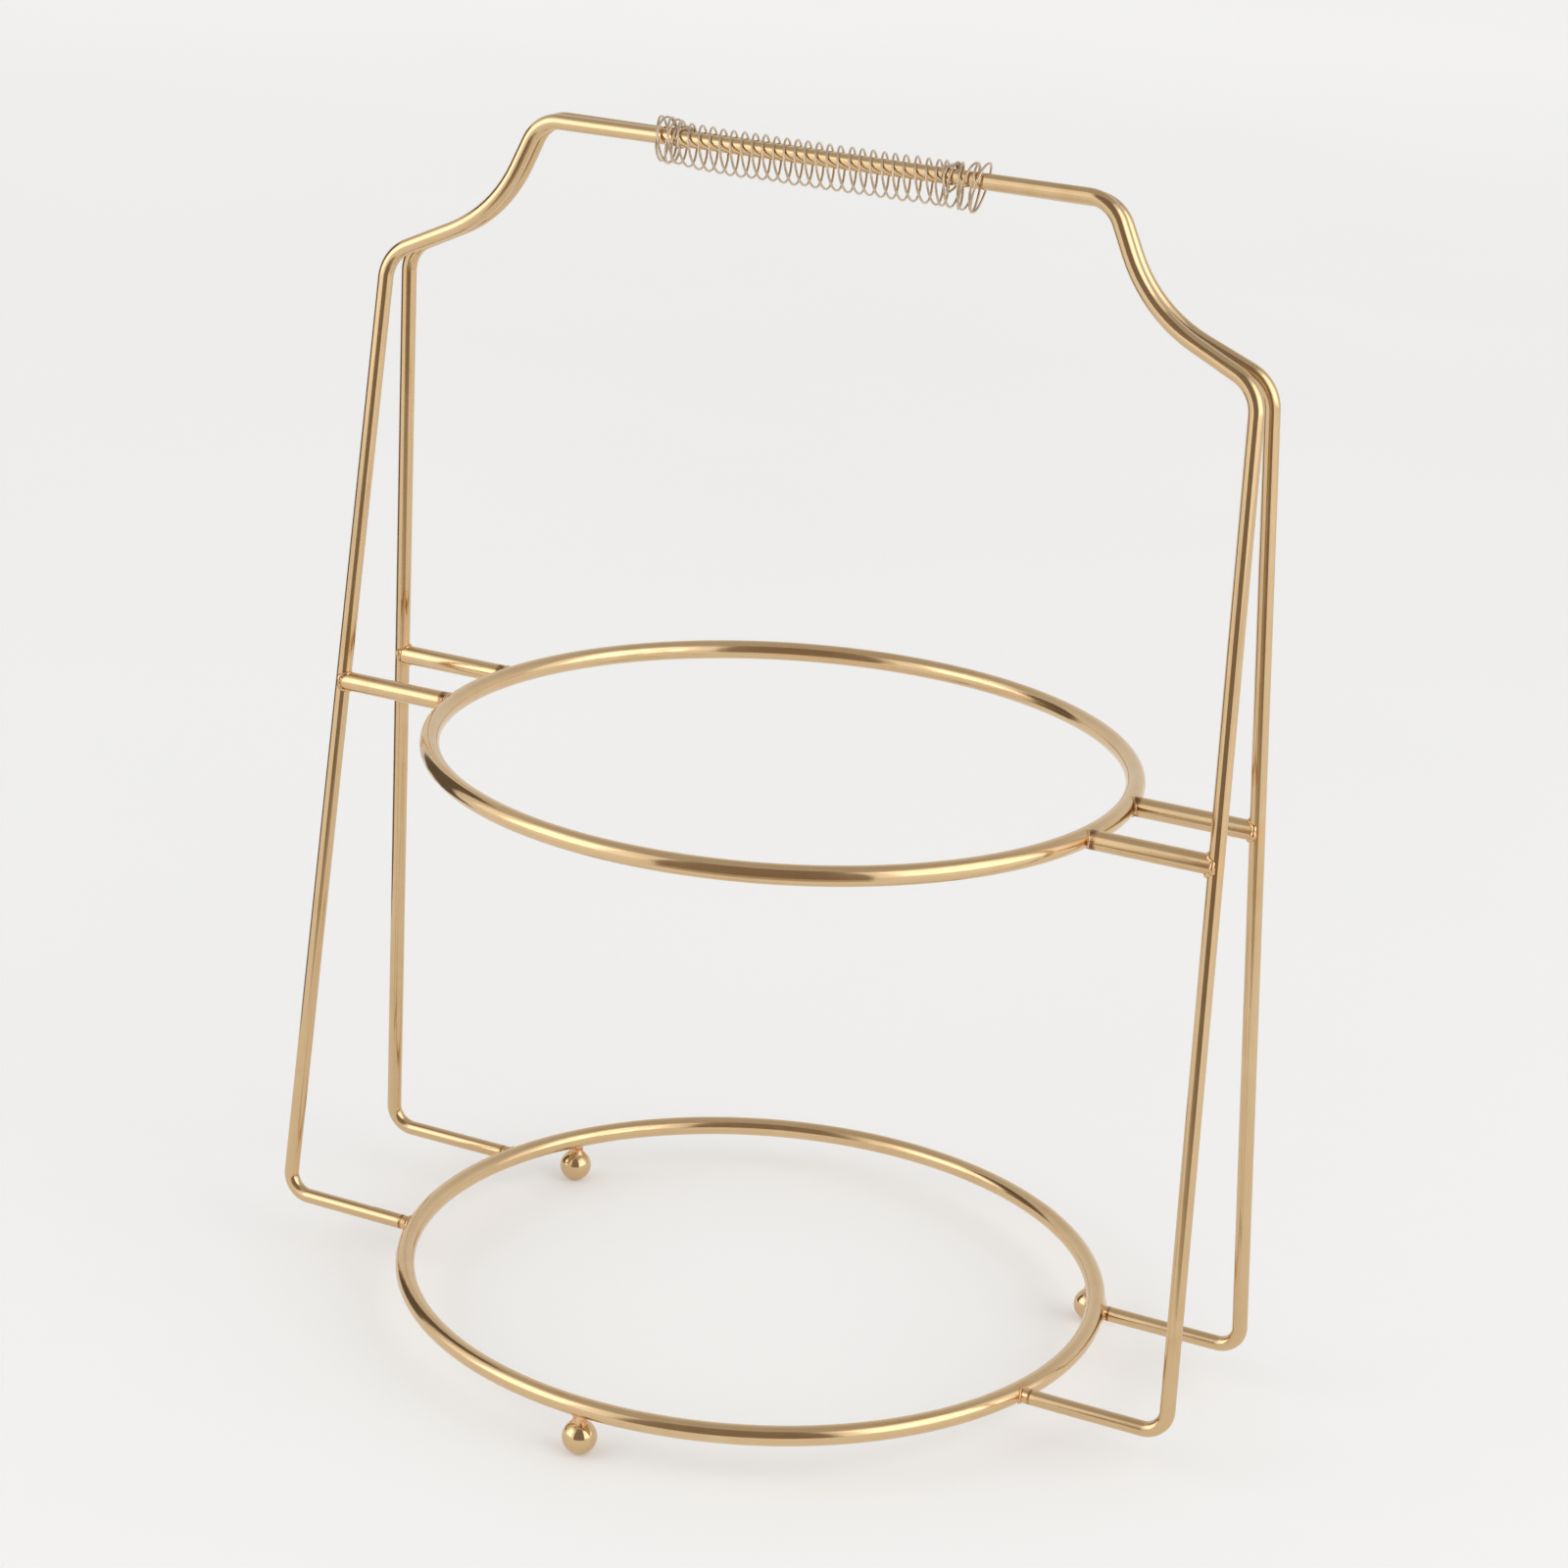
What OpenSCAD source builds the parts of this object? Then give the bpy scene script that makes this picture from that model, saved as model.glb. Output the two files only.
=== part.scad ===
// Two-tier wire cake stand: two bent wire frames carry two plate rings,
// and a thin wire coil forms the grip round both top bars.
// Millimetres. +Z up. Origin on the tabletop, under the rings' common centre.

/* [Wire] */
// Diameter of the two frames' wire
leg_wire_d = 4.3; // [3.2:0.1:5.2]
// Diameter of the wire in the plate rings and the upper stubs
ring_wire_d = 5.5; // [4.6:0.1:7]

/* [Rings] */
// Centre-line radius of the lower plate ring
lower_ring_r = 100; // [85:1:112]
// Centre-line radius of the upper plate ring
upper_ring_r = 97.5; // [85:0.5:110]
// Height of the upper ring above the lower ring
tier_gap = 157.5; // [110:0.5:200]

/* [Feet] */
// Diameter of each ball foot
foot_d = 9.6; // [7:0.2:14]
// Clear height between a ball foot and the ring above it
foot_gap = 1.25; // [0.2:0.05:1.5]
// Diameter of the weld neck on a ball foot
foot_neck_d = 4.4; // [3:0.1:5.4]
// Direction of the first ball foot round the ring, in degrees
first_foot_angle = 29.5; // [20:0.5:60]

/* [Frames] */
// Half the width of a frame across its two lower corners
base_half_w = 139.4; // [128:0.2:150]
// Half the width of a frame across its two shoulders
shoulder_half_w = 128; // [120:0.2:140]
// Half the distance between the frames at the lower corners
base_half_d = 29.4; // [20:0.2:45]
// Half the distance between the frames at the shoulders
shoulder_half_d = 5.7; // [3.4:0.1:14]
// Height of the shoulder corner above the lower ring
shoulder_z = 280.2; // [250:0.2:290]
// Half the width of a frame across the corners of its concave sweeps
sweep_half_w = 95.5; // [92:0.1:104]
// Height of the sweep corner above the lower ring
sweep_z = 295.6; // [292:0.1:300]
// How much further from the middle a frame is at its sweeps than at its top bar
sweep_spread = 0.3; // [0:0.05:2]
// Half the length of the straight top bar, corner to corner
bar_half_l = 83.4; // [78:0.1:88]
// Height of the top bars above the lower ring
bar_z = 322.6; // [319:0.1:335]
// Gap between the two top bars
bar_gap = 0.1; // [0.02:0.02:0.6]

/* [Bends] */
// Centre-line radius of the lower corner bend
base_bend_r = 6.5; // [3.4:0.1:12]
// Centre-line radius of the shoulder bend
shoulder_bend_r = 11; // [5:0.1:14]
// Centre-line radius of the concave sweep
sweep_bend_r = 40; // [20:0.5:42]
// Centre-line radius of the top corner bend
bar_bend_r = 10; // [4:0.1:12]

/* [Grip coil] */
// Diameter of the coil's wire
coil_wire_d = 0.7; // [0.5:0.05:1]
// Least clearance between the coil's open turns and the bars
coil_clear = 0.1; // [0.1:0.05:2.5]
// Drop of the coil's axis below the top bars' axes
coil_drop = 2.4; // [0:0.1:2.5]
// Half the length of the coil
coil_half_l = 49.5; // [30:0.5:60]
// Number of evenly spaced turns
coil_turns = 31; // [10:1:34]
// Turns in each tight wrap that holds an end of the coil on the bars
wrap_turns = 1.5; // [1:0.25:2]
// Distance from each end of the coil to its tight wrap
wrap_inset = 9; // [6:0.5:14]

/* [Welds] */
// How far each weld bead stands proud of the wire it surrounds
bead_proud = 0.7; // [0.3:0.05:1.1]

/* [Hidden] */
$fn = 48;
ring_z = foot_d + foot_gap + ring_wire_d / 2;
upper_ring_z = ring_z + tier_gap;
top_z = ring_z + bar_z;
bar_y = (leg_wire_d + bar_gap) / 2;
sweep_y = bar_y + sweep_spread;
// Where the upper stubs meet the legs
stub_share = tier_gap / shoulder_z;
stub_y = base_half_d + (shoulder_half_d - base_half_d) * stub_share;
stub_leg_x = base_half_w + (shoulder_half_w - base_half_w) * stub_share;
// Depth of the wrap of a stub's end round the leg
stub_wrap = 1;
// Where a wire parallel to X meets the outside of a ring
lower_joint_x = sqrt(pow(lower_ring_r + ring_wire_d / 2, 2) - pow(base_half_d, 2));
upper_joint_x = sqrt(pow(upper_ring_r + ring_wire_d / 2, 2) - pow(stub_y, 2));
// How far the centre of a bead sits out from the joint, and how deep in the wire its round starts
bead_offset = 0.5;
bead_sunk = 0.4;
// Centre-line radius of the coil's open turns
coil_r = norm([bar_y, coil_drop]) + leg_wire_d / 2 + coil_wire_d / 2 + coil_clear;
coil_samples = 16;
coil_sides = 6;
// Axial step of one turn of a tight wrap, and its clearance from the bars
wrap_pitch = coil_wire_d + 0.15;
wrap_clear = 0.05;
// Straight and curved lengths of wire meet inside a short collar a hair wider than the wire
joint_gap = 0.04;
joint_half = 0.15;
joint_swell = 0.06;
gold = [0.83, 0.68, 0.42];

function unit(v) = v / norm(v);
function clamp(v) = max(-1, min(1, v));
function ease(u) = u * u * (3 - 2 * u);

// A placement from three perpendicular directions and an origin
function placed(o, x, y, z) = [
  [x[0], y[0], z[0], o[0]],
  [x[1], y[1], z[1], o[1]],
  [x[2], y[2], z[2], o[2]],
  [0, 0, 0, 1]
];

// Any direction square to v
function square_to(v) = unit(cross(v, abs(v[1]) < 0.9 * norm(v) ? [0, 1, 0] : [1, 0, 0]));

// Straight wire from a to b
module wire_run(a, b, d) {
  along = unit(b - a);
  across = square_to(along);
  multmatrix(placed(a, across, cross(along, across), along))
    cylinder(d = d, h = norm(b - a));
}

// Distance from a corner to the start of its bend
function bend_reach(a, c, b, r) =
  r / tan(acos(clamp(unit(a - c) * unit(b - c))) / 2);

// Curved wire round the corner c between the runs to a and to b
module wire_bend(a, c, b, r, d) {
  to_a = unit(a - c);
  to_b = unit(b - c);
  opening = acos(clamp(to_a * to_b));
  centre = c + unit(to_a + to_b) * r / sin(opening / 2);
  start = c + to_a * r / tan(opening / 2);
  out = unit(start - centre);
  short = joint_gap / r * 180 / PI;
  multmatrix(placed(centre, out, -to_a, cross(out, -to_a)))
    rotate([0, 0, short])
      rotate_extrude(angle = 180 - opening - 2 * short)
        translate([r, 0])
          circle(d = d);
}

// Wire along a list of corners, each rounded by its own radius; end corners have radius 0
function bend_at(p, radii, i) =
  radii[i] == 0 ? 0 : bend_reach(p[i - 1], p[i], p[i + 1], radii[i]);

module bent_wire(p, radii, d) {
  last = len(p) - 1;
  for (i = [0 : last - 1]) {
    along = unit(p[i + 1] - p[i]);
    from = bend_at(p, radii, i) + joint_gap * sign(radii[i]);
    to = bend_at(p, radii, i + 1) + joint_gap * sign(radii[i + 1]);
    wire_run(p[i] + along * from, p[i + 1] - along * to, d);
  }
  for (i = [1 : last - 1]) {
    wire_bend(p[i - 1], p[i], p[i + 1], radii[i], d);
    for (q = [p[i - 1], p[i + 1]]) {
      along = unit(q - p[i]);
      joint = p[i] + along * bend_at(p, radii, i);
      wire_run(joint - along * joint_half, joint + along * joint_half, d + joint_swell);
    }
  }
}

// Corners of one half of a frame, from the ring up to the top corner
function half_corners(sx, sy) = [
  [sx * (lower_joint_x - ring_wire_d / 2), sy * base_half_d, ring_z],
  [sx * base_half_w, sy * base_half_d, ring_z],
  [sx * shoulder_half_w, sy * shoulder_half_d, ring_z + shoulder_z],
  [sx * sweep_half_w, sy * sweep_y, ring_z + sweep_z],
  [sx * bar_half_l, sy * bar_y, top_z]
];

function reversed(v) = [for (i = [len(v) - 1 : -1 : 0]) v[i]];

half_radii = [0, base_bend_r, shoulder_bend_r, sweep_bend_r, bar_bend_r];

module ring(r, z) {
  translate([0, 0, z])
    rotate_extrude()
      translate([r, 0])
        circle(d = ring_wire_d);
}

module lower_ring() {
  color(gold)
    ring(lower_ring_r, ring_z);
}

module upper_ring() {
  color(gold)
    ring(upper_ring_r, upper_ring_z);
}

// One frame is a single wire bent in eight places, its ends fitted to the lower ring
module frame(sy) {
  color(gold)
    difference() {
      bent_wire(
        concat(half_corners(-1, sy), reversed(half_corners(1, sy))),
        concat(half_radii, reversed(half_radii)),
        leg_wire_d
      );
      ring(lower_ring_r, ring_z);
    }
}

// The straight part of a leg
module leg(sx, sy) {
  corners = half_corners(sx, sy);
  wire_run(corners[1], corners[2], leg_wire_d);
}

module stub_wire(sx, sy, from_x, to_x) {
  wire_run([sx * from_x, sy * stub_y, upper_ring_z], [sx * to_x, sy * stub_y, upper_ring_z], ring_wire_d);
}

// A short straight wire that ties the upper ring to a leg
module stub(sx, sy) {
  color(gold)
    difference() {
      stub_wire(sx, sy, upper_joint_x - ring_wire_d / 2, stub_leg_x - stub_wrap);
      ring(upper_ring_r, upper_ring_z);
      leg(sx, sy);
    }
}

// A bead of weld metal round a wire of diameter d that runs along X
module bead(d) {
  rotate([0, 90, 0])
    rotate_extrude()
      intersection() {
        translate([d / 2 - bead_sunk, 0])
          circle(r = bead_proud + bead_sunk);
        translate([d / 2, -d])
          square([d, 2 * d]);
      }
}

// Bead round the end of a frame's wire on the lower ring
module base_weld(sx, sy) {
  color(gold)
    difference() {
      translate([sx * (lower_joint_x + bead_offset), sy * base_half_d, ring_z])
        bead(leg_wire_d);
      ring(lower_ring_r, ring_z);
    }
}

// Bead round the end of a stub on the upper ring
module ring_weld(sx, sy) {
  color(gold)
    difference() {
      translate([sx * (upper_joint_x + bead_offset), sy * stub_y, upper_ring_z])
        bead(ring_wire_d);
      ring(upper_ring_r, upper_ring_z);
    }
}

// Bead round the end of a stub on the leg
module leg_weld(sx, sy) {
  color(gold)
    difference() {
      translate([sx * (stub_leg_x - stub_wrap - bead_offset), sy * stub_y, upper_ring_z])
        bead(ring_wire_d);
      leg(sx, sy);
    }
}

function foot_at(i) = [
  lower_ring_r * cos(first_foot_angle + 120 * i),
  lower_ring_r * sin(first_foot_angle + 120 * i),
  foot_d / 2
];

module foot(i) {
  color(gold)
    translate(foot_at(i))
      sphere(d = foot_d);
}

// Neck of weld metal between a ball foot and the ring
module foot_weld(i) {
  color(gold)
    difference() {
      translate(foot_at(i))
        cylinder(d = foot_neck_d, h = ring_z - foot_d / 2);
      translate(foot_at(i))
        sphere(d = foot_d);
      ring(lower_ring_r, ring_z);
    }
}

// Centre of the coil's wire where it hugs both bars, at angle a
wrap_r = leg_wire_d / 2 + coil_wire_d / 2 + wrap_clear;
function hug(a) = [0, bar_y * clamp(3 * cos(a)) + wrap_r * cos(a), top_z + wrap_r * sin(a)];

// Centre of the coil's wire on an open turn, at angle a
function open_turn(a) = [0, coil_r * cos(a), top_z - coil_drop + coil_r * sin(a)];

// One end's inward tail, t turns beyond the last open turn: a spreading turn, then the wrap
wrap_x = coil_half_l - wrap_inset;
function tail_x(t) =
  t < 1 ? coil_half_l - wrap_inset * ease(t) : wrap_x - wrap_pitch * (t - 1);
function tail_hug(t) = t < 1 ? ease(t) : 1;

// Centre of the coil's wire, t turns after the start of the open turns
function coil_point(t) =
  let (
    a = 360 * t,
    over = max(-t, t - coil_turns, 0),
    side = t < coil_turns / 2 ? -1 : 1,
    share = tail_hug(over),
    x = over > 0 ? side * tail_x(over) : (2 * t / coil_turns - 1) * coil_half_l
  )
  [x, 0, 0] + (1 - share) * open_turn(a) + share * hug(a);

module handle_coil() {
  extra = 1 + wrap_turns;
  count = ceil((coil_turns + 2 * extra) * coil_samples);
  step = (coil_turns + 2 * extra) / count;
  points = [
    for (i = [0 : count])
      let (
        t = -extra + i * step,
        along = unit(coil_point(t + step / 8) - coil_point(t - step / 8)),
        radial = [0, cos(360 * t), sin(360 * t)],
        side = unit(cross(along, radial)),
        out = cross(side, along)
      )
      for (k = [0 : coil_sides - 1])
        coil_point(t) + coil_wire_d / 2 * (out * cos(360 * k / coil_sides) + side * sin(360 * k / coil_sides))
  ];
  walls = [
    for (i = [0 : count - 1])
      for (k = [0 : coil_sides - 1])
        let (
          n = (k + 1) % coil_sides,
          a = i * coil_sides + k,
          b = i * coil_sides + n
        )
        [a, a + coil_sides, b + coil_sides, b]
  ];
  first_cap = [for (k = [0 : coil_sides - 1]) k];
  last_cap = [for (k = [coil_sides - 1 : -1 : 0]) count * coil_sides + k];
  color(gold)
    polyhedron(points, concat(walls, [first_cap], [last_cap]));
}

frame(-1);  // front_frame
frame(1);  // rear_frame
lower_ring();
upper_ring();
stub(-1, -1);  // stub_front_left
stub(1, -1);  // stub_front_right
stub(-1, 1);  // stub_rear_left
stub(1, 1);  // stub_rear_right
foot(2);  // foot_front
foot(1);  // foot_rear_left
foot(0);  // foot_rear_right
handle_coil();
base_weld(-1, -1);  // weld_base_front_left
base_weld(1, -1);  // weld_base_front_right
base_weld(-1, 1);  // weld_base_rear_left
base_weld(1, 1);  // weld_base_rear_right
ring_weld(-1, -1);  // weld_ring_front_left
ring_weld(1, -1);  // weld_ring_front_right
ring_weld(-1, 1);  // weld_ring_rear_left
ring_weld(1, 1);  // weld_ring_rear_right
leg_weld(-1, -1);  // weld_leg_front_left
leg_weld(1, -1);  // weld_leg_front_right
leg_weld(-1, 1);  // weld_leg_rear_left
leg_weld(1, 1);  // weld_leg_rear_right
foot_weld(2);  // weld_foot_front
foot_weld(1);  // weld_foot_rear_left
foot_weld(0);  // weld_foot_rear_right
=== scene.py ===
"""Looks of the two-tier wire cake stand: gold-plated wire, lumpy weld beads, ball feet and a loose grip coil,
on a plain pale floor between two softboxes. Metres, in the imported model's frame: +Z up, front towards -Y."""

import math

import bpy
import numpy as np
from mathutils import Euler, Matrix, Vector, noise


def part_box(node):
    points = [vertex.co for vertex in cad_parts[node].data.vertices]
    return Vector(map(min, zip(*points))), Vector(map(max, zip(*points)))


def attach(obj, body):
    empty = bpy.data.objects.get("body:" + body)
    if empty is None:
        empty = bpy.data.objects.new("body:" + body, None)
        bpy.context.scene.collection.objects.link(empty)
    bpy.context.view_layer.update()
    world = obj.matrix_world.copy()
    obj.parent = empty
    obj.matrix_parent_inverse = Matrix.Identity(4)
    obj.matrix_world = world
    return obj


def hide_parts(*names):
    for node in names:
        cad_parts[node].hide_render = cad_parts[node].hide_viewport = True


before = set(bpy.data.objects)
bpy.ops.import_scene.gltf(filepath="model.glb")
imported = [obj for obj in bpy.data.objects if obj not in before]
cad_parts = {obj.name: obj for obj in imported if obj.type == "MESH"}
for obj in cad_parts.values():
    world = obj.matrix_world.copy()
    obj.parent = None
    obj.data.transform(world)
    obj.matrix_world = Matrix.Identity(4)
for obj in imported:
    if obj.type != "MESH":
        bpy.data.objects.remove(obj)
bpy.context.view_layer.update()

MM = 0.001
SIDES = (-1, 1)
SIDE_NAMES = {-1: "left", 1: "right"}
FACE_NAMES = {-1: "front", 1: "rear"}

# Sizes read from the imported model
ring_low, ring_high = map(np.array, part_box("lower_ring"))
upper_low, upper_high = map(np.array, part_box("upper_ring"))
frame_high = np.array(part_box("front_frame")[1])
stub_low, stub_high = map(np.array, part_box("stub_rear_right"))
foot_low, foot_high = map(np.array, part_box("foot_front"))

RING_WIRE_R = (ring_high[2] - ring_low[2]) / 2
LOWER_RING_R = ring_high[0] - RING_WIRE_R
UPPER_RING_R = upper_high[0] - RING_WIRE_R
RING_Z = (ring_low[2] + ring_high[2]) / 2
UPPER_Z = (upper_low[2] + upper_high[2]) / 2
FOOT_R = (foot_high[2] - foot_low[2]) / 2
STUB_Y = (stub_low[1] + stub_high[1]) / 2

# Driving dimensions of a frame, as in the part's source
LEG_WIRE_R = 2.15 * MM
TOP_Z = frame_high[2] - LEG_WIRE_R
BASE_HALF_W = 139.4 * MM
SHOULDER_HALF_W = 128 * MM
BASE_HALF_D = 29.4 * MM
SHOULDER_HALF_D = 5.7 * MM
SHOULDER_Z = RING_Z + 280.2 * MM
SWEEP_HALF_W = 95.5 * MM
SWEEP_Z = RING_Z + 295.6 * MM
BAR_HALF_L = 83.4 * MM
BAR_Y = 2.2 * MM
SWEEP_SPREAD = 0.3 * MM
BASE_BEND_R = 6.5 * MM
SHOULDER_BEND_R = 11 * MM
SWEEP_BEND_R = 40 * MM
BAR_BEND_R = 10 * MM
FIRST_FOOT_ANGLE = 29.5

# Where the hand-bent frames are a little off: less than half a wire's thickness
REAR_RIGHT_TOP_DROP = 1.2 * MM
REAR_RIGHT_SWEEP_DROP = 0.9 * MM
FRONT_RIGHT_SHOULDER_RISE = 0.7 * MM
LEFT_SWEEP_FORWARD = 0.7 * MM

# The photograph's point of view: a long lens, above the stand's front right, a little tilted
VIEW_FROM = (0.4184, -0.8954, 0.4981)
VIEW_HEADING = 25.0
VIEW_PITCH = 18.78
VIEW_ROLL = 3.57
LENS = 86.4

# Studio: how bright each part looks to the metal
ROOM_LIGHT = 0.80
CEILING_LIGHT = 0.52
FLOOR_ALBEDO = 0.9
FLOOR_GLOW_NEAR = 0.12
FLOOR_GLOW_FAR = 0.30
SOFTBOX_RIM_LIGHT = 0.33
SOFTBOX_CORE_LIGHT = 0.7
# Dark card seen only in the metal: painted shade of the floor by the stand, and upright a painted dark
# reflection
CARD_LEFT = Vector((-0.13, -0.80, 0))
CARD_RIGHT = Vector((0.50, -0.39, 0))
CARD_NEAR = 0.29
CARD_DARK_FROM = 0.58
CARD_TALL = 1.5
# Dark panel seen only in the metal, casting no shade: a painted dark reflection on the stand's left
FLAG_FRONT = Vector((-0.345, -0.07, 0))
FLAG_BACK = Vector((-0.33, 0.085, 0))
FLAG_TALL = 0.42
MIDDLE_Z = 0.17


# ---------------------------------------------------------------- geometry


def unit(v):
    return v / np.linalg.norm(v)


def rounded(corners, radii, run_step=4 * MM, turn_step=4):
    """Points along straight runs joined by arcs of the given radii; turn_step is in degrees."""
    points = [corners[0]]
    for before, corner, after, r in zip(corners, corners[1:], corners[2:], radii[1:]):
        back, on = unit(before - corner), unit(after - corner)
        half = math.acos(np.dot(back, on)) / 2
        centre = corner + unit(back + on) * r / math.sin(half)
        start = corner + back * r / math.tan(half)
        out = unit(start - centre)
        turn = math.pi - 2 * half
        steps = max(3, round(math.degrees(turn) / turn_step))
        points += straight(points[-1], start, run_step)
        for i in range(1, steps + 1):
            a = turn * i / steps
            points.append(centre + r * (out * math.cos(a) - back * math.sin(a)))
    points += straight(points[-1], corners[-1], run_step)
    return np.array(points)


def straight(a, b, step):
    count = max(1, round(np.linalg.norm(b - a) / step))
    return [a + (b - a) * i / count for i in range(1, count + 1)]


def frames_along(path, closed):
    """Two directions square to the path at each point, turning as little as possible."""
    if closed:
        along = np.roll(path, -1, 0) - np.roll(path, 1, 0)
    else:
        along = np.gradient(path, axis=0)
    along /= np.linalg.norm(along, axis=1)[:, None]
    side = unit(np.cross(along[0], (0.13, 0.31, 0.94)))
    sides = []
    for t in along:
        side = unit(side - t * np.dot(side, t))
        sides.append(side)
    sides = np.array(sides)
    return along, sides, np.cross(along, sides)


def tube(name, path, radius, around=20, closed=False):
    """A round wire along a path, with domed ends. radius is one value or one per point."""
    path = np.asarray(path, float)
    radius = np.broadcast_to(radius, len(path)).astype(float)
    along, side, up = frames_along(path, closed)
    if not closed:
        path, radius, along, side, up = domed(path, radius, along, side, up)
    angles = np.linspace(0, 2 * math.pi, around, endpoint=False)
    across = side[:, None] * np.cos(angles)[None, :, None]
    section = across + up[:, None] * np.sin(angles)[None, :, None]
    points = path[:, None] + section * radius[:, None, None]
    count = len(path)
    faces = []
    for i in range(count if closed else count - 1):
        j = (i + 1) % count
        for k in range(around):
            n = (k + 1) % around
            faces.append((i * around + k, i * around + n, j * around + n, j * around + k))
    if not closed:
        faces.append(tuple(reversed(range(around))))
        faces.append(tuple((count - 1) * around + k for k in range(around)))
    return mesh_object(name, points.reshape(-1, 3), faces)


def domed(path, radius, along, side, up, steps=5):
    """The path with a dome's narrowing sections added past each end."""
    lift = [math.sin(math.pi / 2 * i / steps) for i in range(1, steps)] + [0.995]
    shrink = [math.sqrt(1 - h * h) for h in lift]
    for end, sign in ((0, -1), (-1, 1)):
        extra = [path[end] + along[end] * sign * radius[end] * h * 0.6 for h in lift]
        thin = [radius[end] * s for s in shrink]
        if end == 0:
            path = np.concatenate([extra[::-1], path])
            radius = np.concatenate([thin[::-1], radius])
        else:
            path = np.concatenate([path, extra])
            radius = np.concatenate([radius, thin])
        along, side, up = (padded(a, end, steps) for a in (along, side, up))
    return path, radius, along, side, up


def padded(rows, end, count):
    extra = np.repeat(rows[end][None], count, 0)
    return np.concatenate([extra, rows]) if end == 0 else np.concatenate([rows, extra])


def mesh_object(name, points, faces):
    mesh = bpy.data.meshes.new(name)
    mesh.from_pydata([tuple(p) for p in points], [], faces)
    mesh.update()
    mesh.shade_smooth()
    made = bpy.data.objects.new(name, mesh)
    bpy.context.scene.collection.objects.link(made)
    return made


def wander(t, seed, octaves=2):
    """Smooth noise of one value, between about -1 and 1."""
    return noise.fractal(Vector((t, seed * 7.31, seed * 1.7)), 0.8, 2.1, octaves)


def finish_piece(piece, material, slot, *nodes):
    piece.data.materials.append(material)
    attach(piece, "root")
    if nodes:
        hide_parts(*nodes)
    return piece


# ---------------------------------------------------------------- materials


class Shader:
    """A small helper that adds and links nodes of one material."""

    def __init__(self, name):
        self.material = bpy.data.materials.new(name)
        self.material.use_nodes = True
        self.tree = self.material.node_tree
        self.surface = self.tree.nodes["Principled BSDF"]

    def node(self, kind, **settings):
        made = self.tree.nodes.new(kind)
        for key, value in settings.items():
            if key in made.inputs:
                made.inputs[key].default_value = value
            else:
                setattr(made, key, value)
        return made

    def link(self, source, target):
        self.tree.links.new(source, target)

    def place(self):
        return self.node("ShaderNodeTexCoord").outputs["Object"]

    def noise(self, scale, detail=2):
        """Grey noise in the object's own space. scale is in features per metre."""
        made = self.node("ShaderNodeTexNoise", Scale=scale, Detail=detail)
        self.link(self.place(), made.inputs["Vector"])
        return made.outputs["Fac"]

    def spread(self, value, low, high, to_low=0.0, to_high=1.0):
        made = self.node("ShaderNodeMapRange")
        for key, number in zip(("From Min", "From Max", "To Min", "To Max"), (low, high, to_low, to_high)):
            made.inputs[key].default_value = number
        self.link(value, made.inputs["Value"])
        return made.outputs["Result"]

    def mix(self, factor, first, second):
        """Mixes two colours, each a colour or a socket."""
        made = self.node("ShaderNodeMix", data_type="RGBA")
        self.link(factor, made.inputs[0])
        for socket, colour in ((made.inputs[6], first), (made.inputs[7], second)):
            if isinstance(colour, tuple):
                socket.default_value = (*colour, 1)
            else:
                self.link(colour, socket)
        return made.outputs[2]

    def near(self, centre, inner, outer):
        """1 within inner of the four mirrored points at centre, falling to 0 at outer."""
        mirrored = self.node("ShaderNodeVectorMath", operation="ABSOLUTE")
        away = self.node("ShaderNodeVectorMath", operation="DISTANCE")
        self.link(self.place(), mirrored.inputs[0])
        self.link(mirrored.outputs[0], away.inputs[0])
        away.inputs[1].default_value = tuple(centre)
        return self.spread(away.outputs["Value"], inner, outer, 1, 0)

    def crease_shade_and_scorch(self, centre):
        """1 in the narrow dark band round a wire just outside its weld bead: painted shade of the crease there,
        partly scorch.
        """
        inside = self.near(centre, GROOVE_NEAR - 0.1 * MM, GROOVE_NEAR + 0.1 * MM)
        inside_far = self.near(centre, GROOVE_FAR - 0.15 * MM, GROOVE_FAR + 0.15 * MM)
        band = self.node("ShaderNodeMath", operation="SUBTRACT")
        self.link(inside_far, band.inputs[0])
        self.link(inside, band.inputs[1])
        patchy = self.node("ShaderNodeMath", operation="MULTIPLY")
        self.link(band.outputs[0], patchy.inputs[0])
        self.link(self.spread(self.noise(500, 2), 0.35, 0.55, 0.35, 1), patchy.inputs[1])
        return patchy.outputs[0]

    def bump(self, height, distance, below=None):
        made = self.node("ShaderNodeBump", Strength=1.0, Distance=distance)
        self.link(height, made.inputs["Height"])
        if below:
            self.link(below, made.inputs["Normal"])
        return made.outputs["Normal"]


GOLD = (0.76, 0.545, 0.31)
PALE_GOLD = (0.79, 0.585, 0.35)
DEEP_GOLD = (0.72, 0.49, 0.26)
WARM_GOLD = (0.72, 0.47, 0.24)
WARM_WELD = (0.70, 0.44, 0.23)
COPPER = (0.70, 0.33, 0.15)
# Dark of weld scorch, also used as painted shade in the creases and pits at the welds
SCORCH_AND_SHADE = (0.22, 0.10, 0.045)
GREY_GOLD = (0.66, 0.53, 0.38)
COIL_PALE = (0.72, 0.6, 0.44)
COIL_DEEP = (0.6, 0.44, 0.28)
# Colours of the card and panel seen only in the metal: painted floor shade and painted dark reflections
CARD_SHADE_AND_DARK_COLOURS = ((0.27, 0.215, 0.17), (0.33, 0.265, 0.21))
CARD_HALF_SHADE = (0.62, 0.55, 0.47)
# The left panel's colours: a painted dark reflection
FLAG_COLOURS = ((0.11, 0.09, 0.07), (0.14, 0.11, 0.09))

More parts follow.
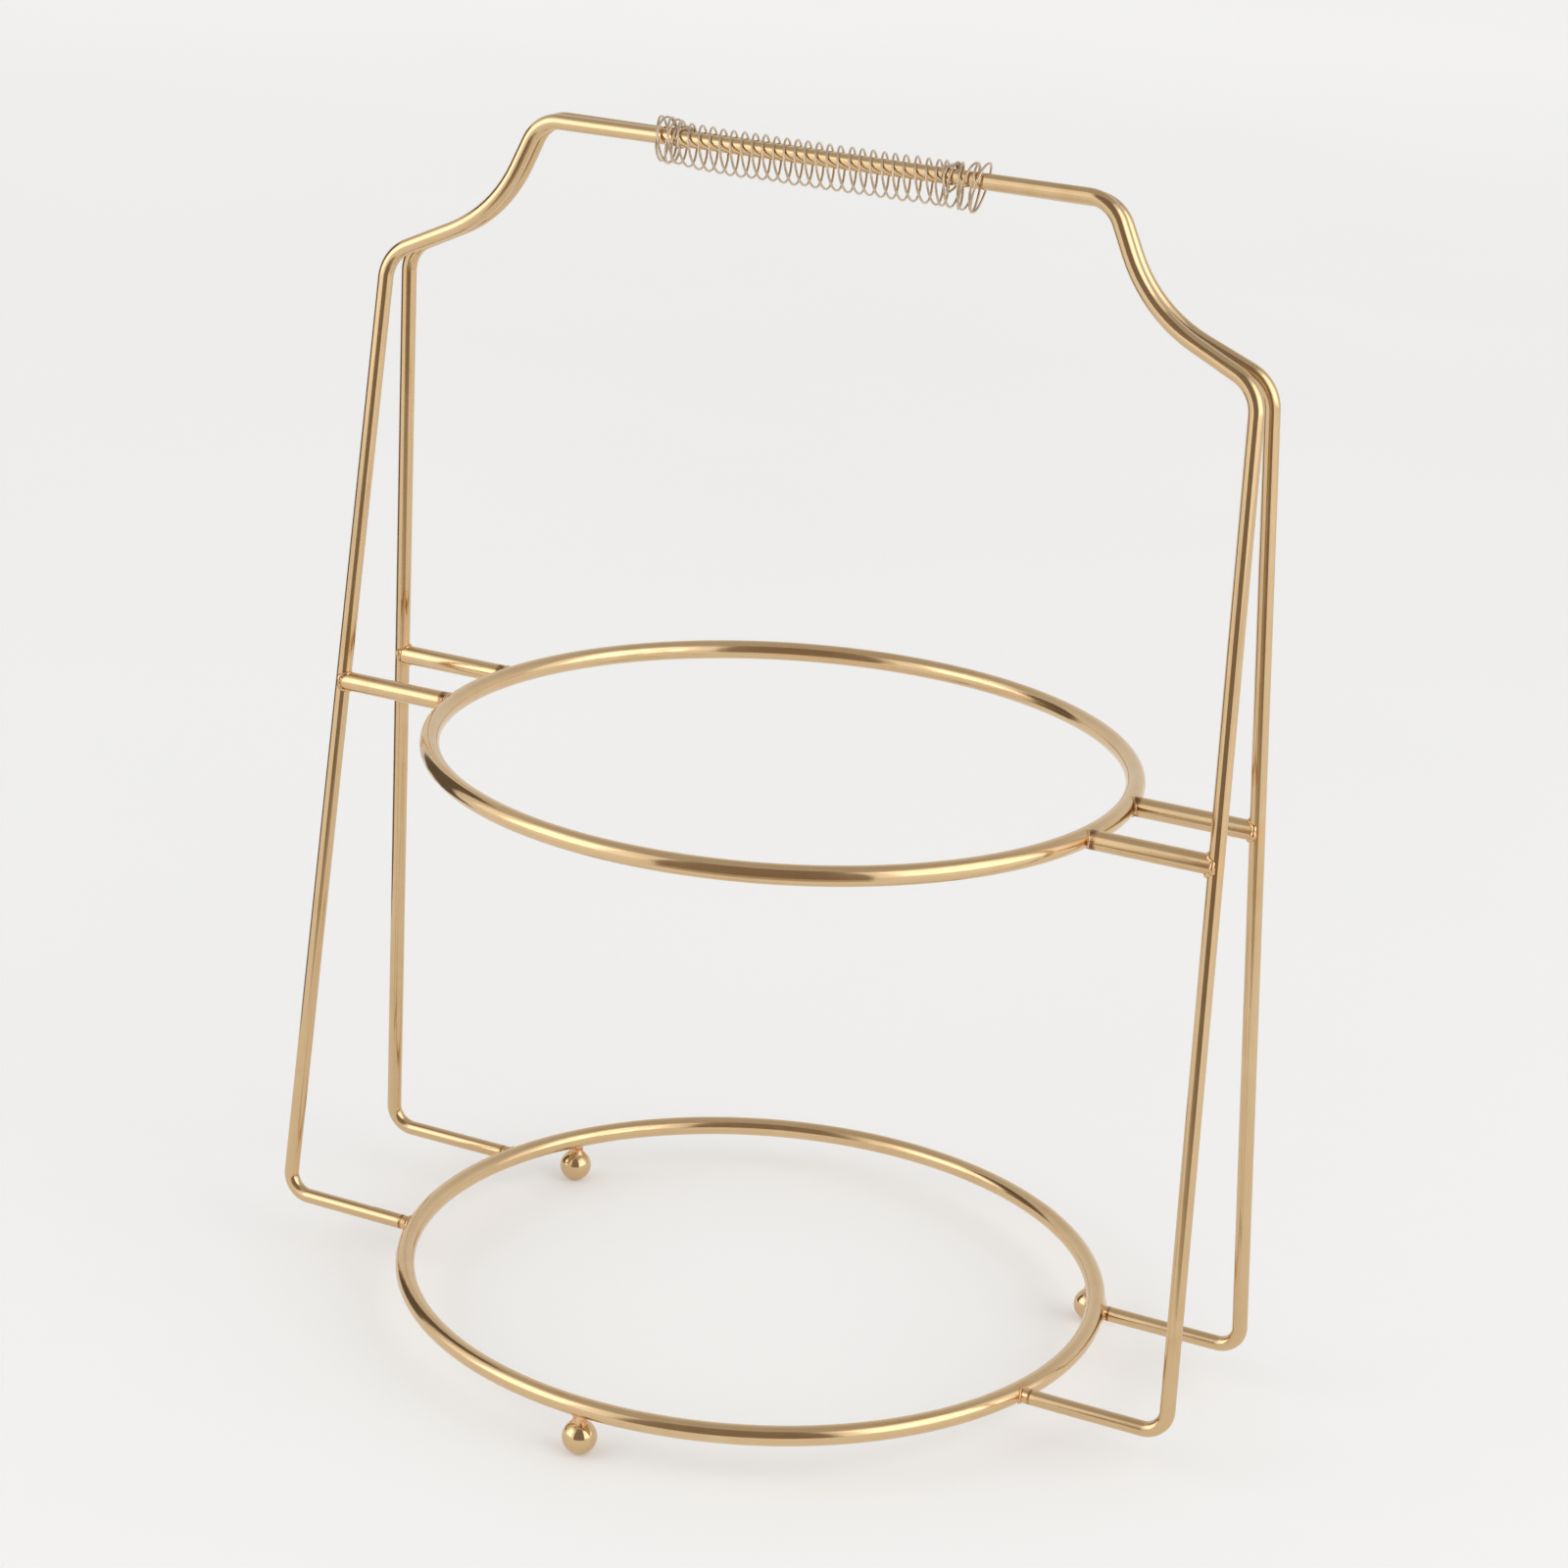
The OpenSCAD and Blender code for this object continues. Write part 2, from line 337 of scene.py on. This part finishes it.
# How bright the plating is on each piece, against the colours above
FRAME_TONE = 0.89
RING_TONE = 0.94
STUB_TONE = 0.92
BALL_TONE = 0.92
COIL_TONE = 0.96

# Inner and outer distance from a joint's centre of the dark band at a bead's edge (painted crease shade, partly
# scorch), and the reach of its heat tint
GROOVE_NEAR = 2.5 * MM
GROOVE_FAR = 2.95 * MM
TINT_NEAR = 2 * MM
TINT_FAR = 5.5 * MM


def plated(name, rough, tone, joints=(), crease_shade_and_scorch_joints=(), base=GOLD, pale=PALE_GOLD, deep=DEEP_GOLD):
    """Bright gold plating on steel wire: slow colour drift, rubbed patches, fine pits and heat tint, and a dark
    band by the weld beads that is painted crease shade, partly scorch.
    """
    s = Shader(name)
    base, pale, deep = (tuple(c * tone for c in colour) for colour in (base, pale, deep))
    drift = s.spread(s.noise(28, 3), 0.35, 0.68)
    colour = s.mix(drift, deep, pale)
    colour = s.mix(s.spread(s.noise(150, 4), 0.3, 0.6), colour, base)
    for centre in joints:
        colour = s.mix(s.near(centre, TINT_NEAR, TINT_FAR), colour, WARM_GOLD)
    # Dark band by each bead: painted shade of the crease, partly scorch
    for centre in crease_shade_and_scorch_joints:
        colour = s.mix(s.crease_shade_and_scorch(centre), colour, SCORCH_AND_SHADE)
    s.link(colour, s.surface.inputs["Base Color"])
    s.surface.inputs["Metallic"].default_value = 1.0
    s.link(s.spread(s.noise(90, 5), 0.3, 0.72, rough - 0.03, rough + 0.07), s.surface.inputs["Roughness"])
    waves = s.bump(s.noise(45, 1), 0.06 * MM)
    pits = s.bump(s.noise(1500, 3), 0.0035 * MM, waves)
    s.link(pits, s.surface.inputs["Normal"])
    return s.material


def weld_metal(name, warm):
    """Plated weld metal: duller, warmer and pitted, with small dark spots that are partly scorch and partly
    painted shade of pits.
    """
    s = Shader(name)
    colour = s.mix(s.spread(s.noise(500, 3), 0.35, 0.65), warm, GOLD)
    # Dark spots: partly scorch, partly painted shade of the bead's pits
    colour = s.mix(s.spread(s.noise(900, 2), 0.62, 0.72), colour, SCORCH_AND_SHADE)
    s.link(colour, s.surface.inputs["Base Color"])
    s.surface.inputs["Metallic"].default_value = 1.0
    s.link(s.spread(s.noise(700, 3), 0.3, 0.7, 0.16, 0.42), s.surface.inputs["Roughness"])
    lumps = s.bump(s.noise(600, 2), 0.15 * MM)
    s.link(s.bump(s.noise(2600, 3), 0.02 * MM, lumps), s.surface.inputs["Normal"])
    return s.material


def recoat(node, material):
    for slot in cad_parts[node].material_slots:
        slot.material = material


# ---------------------------------------------------------------- the wires


def half_corners(sx, sy):
    """Corners of one half of a frame, from inside the lower ring up to the top corner."""
    corners = [
        np.array((sx * lower_joint_x(), sy * BASE_HALF_D, RING_Z)),
        np.array((sx * BASE_HALF_W, sy * BASE_HALF_D, RING_Z)),
        np.array((sx * SHOULDER_HALF_W, sy * SHOULDER_HALF_D, SHOULDER_Z)),
        np.array((sx * SWEEP_HALF_W, sy * (BAR_Y + SWEEP_SPREAD), SWEEP_Z)),
        np.array((sx * BAR_HALF_L, sy * BAR_Y, TOP_Z)),
    ]
    shoulder, sweep, top = corners[2:]
    if sx < 0:
        sweep[1] -= LEFT_SWEEP_FORWARD
    elif sy > 0:
        sweep[2] -= REAR_RIGHT_SWEEP_DROP
        top[2] -= REAR_RIGHT_TOP_DROP
    else:
        shoulder[2] += FRONT_RIGHT_SHOULDER_RISE
    return corners


def lower_joint_x():
    return math.sqrt((LOWER_RING_R + RING_WIRE_R) ** 2 - BASE_HALF_D**2)


def upper_joint_x():
    return math.sqrt((UPPER_RING_R + RING_WIRE_R) ** 2 - STUB_Y**2)


def leg_x_at(z):
    share = (z - RING_Z) / (SHOULDER_Z - RING_Z)
    return BASE_HALF_W + (SHOULDER_HALF_W - BASE_HALF_W) * share


def make_frame(sy, material):
    """One wire bent in eight places, from the ring up over the top and down to the ring again."""
    radii = [0, BASE_BEND_R, SHOULDER_BEND_R, SWEEP_BEND_R, BAR_BEND_R]
    corners = half_corners(-1, sy) + half_corners(1, sy)[::-1]
    path = rounded(corners, radii + radii[::-1])
    name = FACE_NAMES[sy] + "_frame"
    return finish_piece(tube(name + "_wire", path, LEG_WIRE_R, 28), material, "gold_frame_wire", name)


# ---------------------------------------------------------------- welds

# Thickness of the beads
RING_BEAD = 0.55 * MM
LEG_BEAD = {-1: 1.1 * MM, 1: 0.85 * MM}
# How far the stub's end sits inside the leg's skin at least
STUB_END_INSET = 0.2 * MM

def ring_gap(point, ring_r, ring_z):
    """Distance from a point to the surface of a ring."""
    return math.hypot(math.hypot(point[0], point[1]) - ring_r, point[2] - ring_z) - RING_WIRE_R


def seam_on_ring(sx, y, z, wire_r, ring_r, steps=40):
    """Where the skin of a wire along X first meets a ring, all round the wire."""
    joint = math.sqrt((ring_r + RING_WIRE_R) ** 2 - y * y)
    points = []
    for i in range(steps):
        a = 2 * math.pi * i / steps
        x = joint + 2 * MM
        while x > joint - 1.1 * MM:
            p = np.array((x, y + wire_r * math.cos(a), z + wire_r * math.sin(a)))
            if ring_gap(p, ring_r, z) < 0:
                break
            x -= 0.05 * MM
        points.append(p * (sx, 1, 1))
    return np.array(points)


def seam_on_leg(sx, y, z, wire_r, steps=40):
    """Where the skin of a stub meets a leg, all round the stub."""
    points = []
    for i in range(steps):
        a = 2 * math.pi * i / steps
        dy = wire_r * math.cos(a)
        dz = wire_r * math.sin(a)
        reach = max(STUB_END_INSET, math.sqrt(max(0, LEG_WIRE_R**2 - dy * dy)))
        points.append(np.array((sx * (leg_x_at(z + dz) - reach), y + dy, z + dz)))
    return np.array(points)


def weld_bead(name, seam, size, seed, material):
    """A lumpy bead along a closed seam, thicker and thinner from place to place."""
    count = len(seam)
    middle = seam.mean(0)
    radius = []
    moved = []
    for i, p in enumerate(seam):
        a = 2 * math.pi * i / count
        around = Vector((math.cos(a), math.sin(a), seed * 3.7))
        lump = noise.fractal(around * 1.6, 0.9, 2.0, 3)
        radius.append(size * (0.75 + 0.5 * lump))
        moved.append(p + (middle - p) * 0.07 + unit(p - middle) * size * 0.25 * lump)
    return finish_piece(tube(name + "_bead", moved, radius, 12, True), material, "gold_weld", name)


def foot_direction(i):
    a = math.radians(FIRST_FOOT_ANGLE + 120 * i)
    return np.array((math.cos(a), math.sin(a), 0))


def foot_neck(name, i, material, seed, rows=14, around=28):
    """The short waisted neck of weld metal between a ball and the ring."""
    centre = foot_direction(i) * LOWER_RING_R
    bottom = FOOT_R * 1.72
    top = RING_Z - RING_WIRE_R * 0.45
    path, radius = [], []
    for k in range(rows):
        t = k / (rows - 1)
        waist = 2.05 + (0.8 if t < 0.5 else 0.25) * (2 * t - 1) ** 2
        path.append(centre + np.array((0, 0, bottom + (top - bottom) * t)))
        radius.append(waist * MM)
    piece = tube(name + "_neck", path, radius, around)
    for v in piece.data.vertices:
        out = Vector((v.co.x - centre[0], v.co.y - centre[1], 0))
        lump = noise.fractal(v.co * 420 + Vector((seed, 0, 0)), 0.9, 2.0, 2)
        v.co += out * 0.22 * lump
    return finish_piece(piece, material, "gold_weld", name)


def make_welds(material, neck_material):
    """The twelve beads at the wires' joints, and the three necks above the balls."""
    seed = 1
    for sy in SIDES:
        for sx in SIDES:
            place = FACE_NAMES[sy] + "_" + SIDE_NAMES[sx]
            seam = seam_on_ring(sx, sy * BASE_HALF_D, RING_Z, LEG_WIRE_R, LOWER_RING_R)
            weld_bead("weld_base_" + place, seam, RING_BEAD, seed, material)
            seam = seam_on_ring(sx, sy * STUB_Y, UPPER_Z, RING_WIRE_R, UPPER_RING_R)
            weld_bead("weld_ring_" + place, seam, RING_BEAD, seed + 1, material)
            seam = seam_on_leg(sx, sy * STUB_Y, UPPER_Z, RING_WIRE_R)
            weld_bead("weld_leg_" + place, seam, LEG_BEAD[sy], seed + 2, material)
            seed += 3
    for i, name in enumerate(("rear_right", "rear_left", "front")):
        foot_neck("weld_foot_" + name, i, neck_material, seed + i)


# ---------------------------------------------------------------- grip coil

COIL_WIRE_R = 0.33 * MM
COIL_R = 5.78 * MM
# How far each turn swings along the bars from front to back, in mm
COIL_YAW = 1.0
# How far the coil's axis hangs below the bars, at places along them, both in mm
COIL_SAG_AT = (-43, -38, -25, 50)
COIL_SAG = (1.2, 1.9, 2.35, 2.4)
# The evenly wound middle: place of turn 0, pitch and lean, in mm
EVEN_START = -44.5
EVEN_PITCH = 3.14
EVEN_LEAN = -1.8
EVEN_TURNS = (1, 25)
HUG_R = LEG_WIRE_R + COIL_WIRE_R + 0.06 * MM


def ease(u):
    u = min(1, max(0, u))
    return u * u * (3 - 2 * u)


def hug(a):
    """A turn drawn tight round both top bars."""
    over_bar = BAR_Y * max(-1, min(1, 3 * math.cos(a)))
    return np.array((0, over_bar + HUG_R * math.cos(a), HUG_R * math.sin(a)))


def open_turn(a, size, drop):
    return np.array((0, size * math.cos(a), size * math.sin(a) - drop))


# Stations along the coil: turns so far, place along the bars (mm), size against an open turn,
# how far the turn leans (mm, top against bottom), and 1 where it hugs the bars
LEFT_END = [
    (-5.0, -39.6, 1.00, 0.0, 1),
    (-4.0, -40.6, 1.00, 0.0, 1),
    (-3.2, -42.6, 0.98, 1.2, 0),
    (-2.2, -44.0, 1.06, 1.0, 0),
    (-1.2, -47.9, 1.00, -2.4, 0),
    (-0.2, -45.2, 1.05, -1.4, 0),
]
RIGHT_END = [
    (26.2, 36.2, 1.00, -0.6, 0),
    (27.2, 40.2, 1.02, 0.6, 0),
    (28.2, 43.9, 1.08, 1.6, 0),
    (29.2, 46.8, 1.14, 2.2, 0),
    (30.2, 43.6, 1.08, 1.4, 0),
    (31.2, 38.8, 1.00, 0.6, 0),
    (32.0, 38.0, 1.00, 0.0, 1),
    (33.5, 36.9, 1.00, 0.0, 1),
]


def coil_stations():
    """The irregular ends, with evenly pitched turns between them."""
    first, last = EVEN_TURNS
    even = [(i, EVEN_START + EVEN_PITCH * i, 1.0, EVEN_LEAN, 0) for i in range(first, last + 1, 2)]
    return np.array(LEFT_END + even + RIGHT_END)


def coil_point(t, stations):
    """Centre of the coil's wire after t turns."""
    x, size, lean, tight = (np.interp(t, stations[:, 0], stations[:, k]) for k in (1, 2, 3, 4))
    a = 2 * math.pi * t
    size += 0.022 * wander(t * 0.9, 3)
    drop = np.interp(x, COIL_SAG_AT, COIL_SAG) * MM - 0.2 * MM * abs(wander(t * 0.37, 5))
    tight = ease(tight)
    swing = lean * math.sin(a) / 2 - COIL_YAW * math.cos(a)
    x += 0.22 * wander(t * 0.8, 8) + (1 - tight) * swing
    place = (1 - tight) * open_turn(a, COIL_R * size, drop) + tight * hug(a)
    return place + np.array((x * MM, 0, TOP_Z))


def make_coil(material, samples=30):
    stations = coil_stations()
    start, stop = stations[0, 0], stations[-1, 0]
    count = round((stop - start) * samples)
    path = [coil_point(start + (stop - start) * i / count, stations) for i in range(count + 1)]
    return finish_piece(tube("grip_coil", path, COIL_WIRE_R, 10), material, "gold_coil", "handle_coil")


# ---------------------------------------------------------------- studio


def make_camera():
    data = bpy.data.cameras.new("camera")
    data.lens = LENS
    camera = bpy.data.objects.new("camera", data)
    camera.location = VIEW_FROM
    turn = Euler((math.radians(90 - VIEW_PITCH), 0, math.radians(VIEW_HEADING))).to_matrix()
    roll = Euler((0, 0, math.radians(VIEW_ROLL))).to_matrix()
    camera.rotation_euler = (turn @ roll).to_euler()
    bpy.context.scene.collection.objects.link(camera)
    bpy.context.scene.camera = camera


def make_floor(half=6.0):
    corners = [(-half, -half, 0), (half, -half, 0), (half, half, 0), (-half, half, 0)]
    floor = mesh_object("floor", corners, [(0, 1, 2, 3)])
    s = Shader("pale_floor")
    grey = s.spread(s.noise(3, 2), 0.3, 0.7)
    tone = FLOOR_ALBEDO
    colour = s.mix(grey, (tone, tone, tone), (tone * 0.985, tone * 0.985, tone * 0.98))
    s.link(colour, s.surface.inputs["Base Color"])
    away = s.node("ShaderNodeVectorMath", operation="LENGTH")
    s.link(s.place(), away.inputs[0])
    glow = s.spread(away.outputs["Value"], 0.2, 3.0, FLOOR_GLOW_NEAR, FLOOR_GLOW_FAR)
    s.link(glow, s.surface.inputs["Emission Strength"])
    s.surface.inputs["Emission Color"].default_value = (1, 1, 1, 1)
    s.surface.inputs["Roughness"].default_value = 0.9
    s.surface.inputs["Specular IOR Level"].default_value = 0.1
    floor.data.materials.append(s.material)


def softbox(name, heading, spread, low, high, light, distance=1.6):
    """Soft light facing the stand. heading is clockwise from its back; all angles are in degrees."""
    wide = 2 * distance * math.tan(math.radians(spread / 2))
    bottom = distance * math.tan(math.radians(low))
    top = distance * math.tan(math.radians(high))
    data = bpy.data.lights.new(name, "AREA")
    data.shape = "RECTANGLE"
    data.size = wide
    data.size_y = top - bottom
    data.energy = 4 * light * wide * (top - bottom)
    made = bpy.data.objects.new(name, data)
    a = math.radians(heading)
    made.location = (math.sin(a) * distance, math.cos(a) * distance, MIDDLE_Z + (top + bottom) / 2)
    made.rotation_euler = (math.radians(90), 0, math.pi - a)
    bpy.context.scene.collection.objects.link(made)


def reflected_only(name, points, faces, colours, near=None):
    """A dark surface that the metal reflects and the camera doesn't see. near colours its edge by the stand."""
    card = mesh_object(name, points, faces)
    s = Shader(name)
    colour = s.mix(s.noise(4), *colours)
    # On the card: paler by the stand as painted half shade of the floor, darker further out
    if near:
        away = s.node("ShaderNodeVectorMath", operation="LENGTH")
        s.link(s.place(), away.inputs[0])
        colour = s.mix(s.spread(away.outputs["Value"], CARD_NEAR, CARD_DARK_FROM), near, colour)
    s.link(colour, s.surface.inputs["Base Color"])
    s.surface.inputs["Roughness"].default_value = 0.9
    card.data.materials.append(s.material)
    card.visible_camera = card.visible_diffuse = card.visible_shadow = card.visible_transmission = False


def make_black_card():
    """A dark card round the camera, seen only in the metal: lying on the floor by the stand it is painted shade
    of the floor, paler near the stand, and upright in front of it it gives a dark reflection.
    """
    points, faces = [], []
    for share, up in ((0, 0.001), (0.5, 0.001), (0.85, 0.001), (0.96, 0.03), (1, 0.1), (1, CARD_TALL)):
        for end in (CARD_LEFT, CARD_RIGHT):
            inner = end.normalized() * CARD_NEAR
            points.append(inner.lerp(end, share) + Vector((0, 0, up)))
    for i in range(0, len(points) - 2, 2):
        faces.append((i, i + 1, i + 3, i + 2))
    reflected_only("black_card", points, faces, CARD_SHADE_AND_DARK_COLOURS, CARD_HALF_SHADE)


def make_left_flag():
    """A small dark panel close to the stand's left, seen only in the metal: a painted dark reflection."""
    up = Vector((0, 0, FLAG_TALL))
    points = [FLAG_FRONT, FLAG_BACK, FLAG_BACK + up, FLAG_FRONT + up]
    reflected_only("left_flag", points, [(0, 1, 2, 3)], FLAG_COLOURS)


def make_world():
    """The room: pale all round, dimmer towards the ceiling."""
    world = bpy.data.worlds.new("studio")
    world.use_nodes = True
    tree = world.node_tree
    add, link = tree.nodes.new, tree.links.new
    view, apart, ramp = add("ShaderNodeTexCoord"), add("ShaderNodeSeparateXYZ"), add("ShaderNodeValToRGB")
    stops = ramp.color_ramp.elements
    stops[0].position, stops[1].position = 0.35, 0.88
    stops[0].color = (ROOM_LIGHT, ROOM_LIGHT, ROOM_LIGHT, 1)
    stops[1].color = (CEILING_LIGHT, CEILING_LIGHT * 0.98, CEILING_LIGHT * 0.95, 1)
    link(view.outputs["Generated"], apart.inputs[0])
    link(apart.outputs["Z"], ramp.inputs["Fac"])
    link(ramp.outputs["Color"], tree.nodes["Background"].inputs["Color"])
    bpy.context.scene.world = world


def make_lights():
    make_world()
    make_black_card()
    make_left_flag()
    softbox("softbox_right_rim", 93, 76, -3, 60, SOFTBOX_RIM_LIGHT)
    softbox("softbox_right_core", 94, 48, 3, 50, SOFTBOX_CORE_LIGHT, 1.5)
    softbox("softbox_left_rim", -134, 66, -3, 54, SOFTBOX_RIM_LIGHT)
    softbox("softbox_left_core", -134, 36, 3, 42, SOFTBOX_CORE_LIGHT, 1.5)


# ---------------------------------------------------------------- build

bpy.context.scene.view_settings.view_transform = "Standard"
make_camera()
make_floor()
make_lights()

base_joint = (lower_joint_x(), BASE_HALF_D, RING_Z)
ring_joint = (upper_joint_x(), STUB_Y, UPPER_Z)
leg_joint = (leg_x_at(UPPER_Z), STUB_Y, UPPER_Z)

frame_gold = plated("gold_frame_wire", 0.12, FRAME_TONE, [base_joint, leg_joint], [base_joint])
ring_gold = plated("gold_ring_wire", 0.13, RING_TONE, [base_joint, ring_joint])
stub_gold = plated("gold_stub_wire", 0.13, STUB_TONE, [ring_joint, leg_joint], [ring_joint])
ball_gold = plated("gold_ball", 0.11, BALL_TONE)
coil_gold = plated("gold_coil", 0.2, COIL_TONE, base=GREY_GOLD, pale=COIL_PALE, deep=COIL_DEEP)
weld_gold = weld_metal("gold_weld", WARM_WELD)

for sy in SIDES:
    make_frame(sy, frame_gold)
    for sx in SIDES:
        recoat("stub_" + FACE_NAMES[sy] + "_" + SIDE_NAMES[sx], stub_gold)
for ring in ("lower_ring", "upper_ring"):
    recoat(ring, ring_gold)
for foot in ("foot_front", "foot_rear_left", "foot_rear_right"):
    recoat(foot, ball_gold)
make_coil(coil_gold)
make_welds(weld_gold, weld_metal("gold_foot_neck", COPPER))
